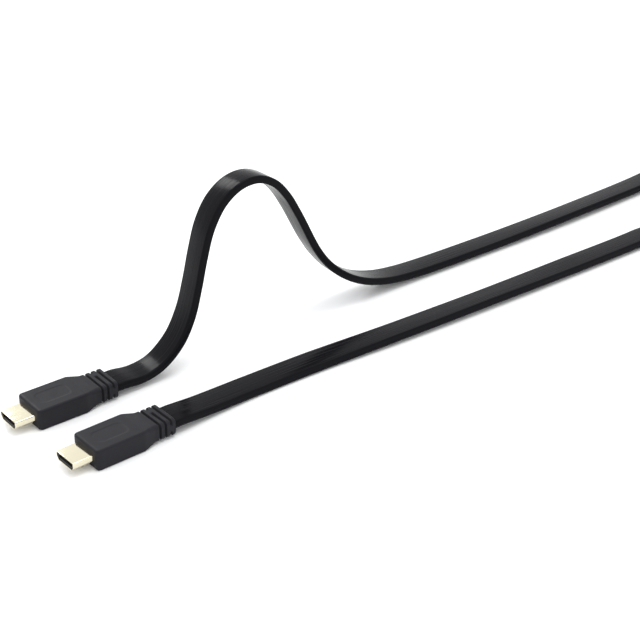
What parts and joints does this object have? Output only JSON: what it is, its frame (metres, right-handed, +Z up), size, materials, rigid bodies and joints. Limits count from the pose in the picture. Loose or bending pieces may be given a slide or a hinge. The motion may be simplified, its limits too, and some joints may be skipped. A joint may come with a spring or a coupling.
{
  "type": "flat hdmi cable",
  "caption": "Flat black HDMI cable: moulded plugs with ribbed strain reliefs and gold-plated shells on a flat jacket that rises in an arch and turns back in a loop.",
  "frame": {"origin": "middle of the near plug's housing, on its flat underside", "axes": "+X along the cable from the near plug, away from its shell; +Y to the far plug; +Z up"},
  "size_m": [0.4988, 0.0752, 0.0912],
  "materials": {
    "gold_plating": "pale gold-plated sheet metal, bright",
    "insulator": "black moulded insulator",
    "contact": "gold-plated contact springs",
    "housing": "satin black moulded vinyl",
    "jacket": "glossy black extruded vinyl"
  },
  "bodies": {
    "root": {"near_plug_shell": "gold_plating", "near_plug_insert": "insulator", "near_plug_housing": "housing", "far_plug_shell": "gold_plating", "far_plug_insert": "insulator", "far_plug_housing": "housing", "near_plug_contact_1": "contact", "near_plug_contact_2": "contact", "near_plug_contact_3": "contact", "near_plug_contact_4": "contact", "near_plug_contact_5": "contact", "near_plug_contact_6": "contact", "near_plug_contact_7": "contact", "near_plug_contact_8": "contact", "near_plug_contact_9": "contact", "near_plug_contact_10": "contact", "near_plug_contact_11": "contact", "near_plug_contact_12": "contact", "near_plug_contact_13": "contact", "near_plug_contact_14": "contact", "near_plug_contact_15": "contact", "near_plug_contact_16": "contact", "near_plug_contact_17": "contact", "near_plug_contact_18": "contact", "near_plug_contact_19": "contact", "far_plug_contact_1": "contact", "far_plug_contact_2": "contact", "far_plug_contact_3": "contact", "far_plug_contact_4": "contact", "far_plug_contact_5": "contact", "far_plug_contact_6": "contact", "far_plug_contact_7": "contact", "far_plug_contact_8": "contact", "far_plug_contact_9": "contact", "far_plug_contact_10": "contact", "far_plug_contact_11": "contact", "far_plug_contact_12": "contact", "far_plug_contact_13": "contact", "far_plug_contact_14": "contact", "far_plug_contact_15": "contact", "far_plug_contact_16": "contact", "far_plug_contact_17": "contact", "far_plug_contact_18": "contact", "far_plug_contact_19": "contact", "cable_jacket": "jacket"}
  },
  "joints": []
}
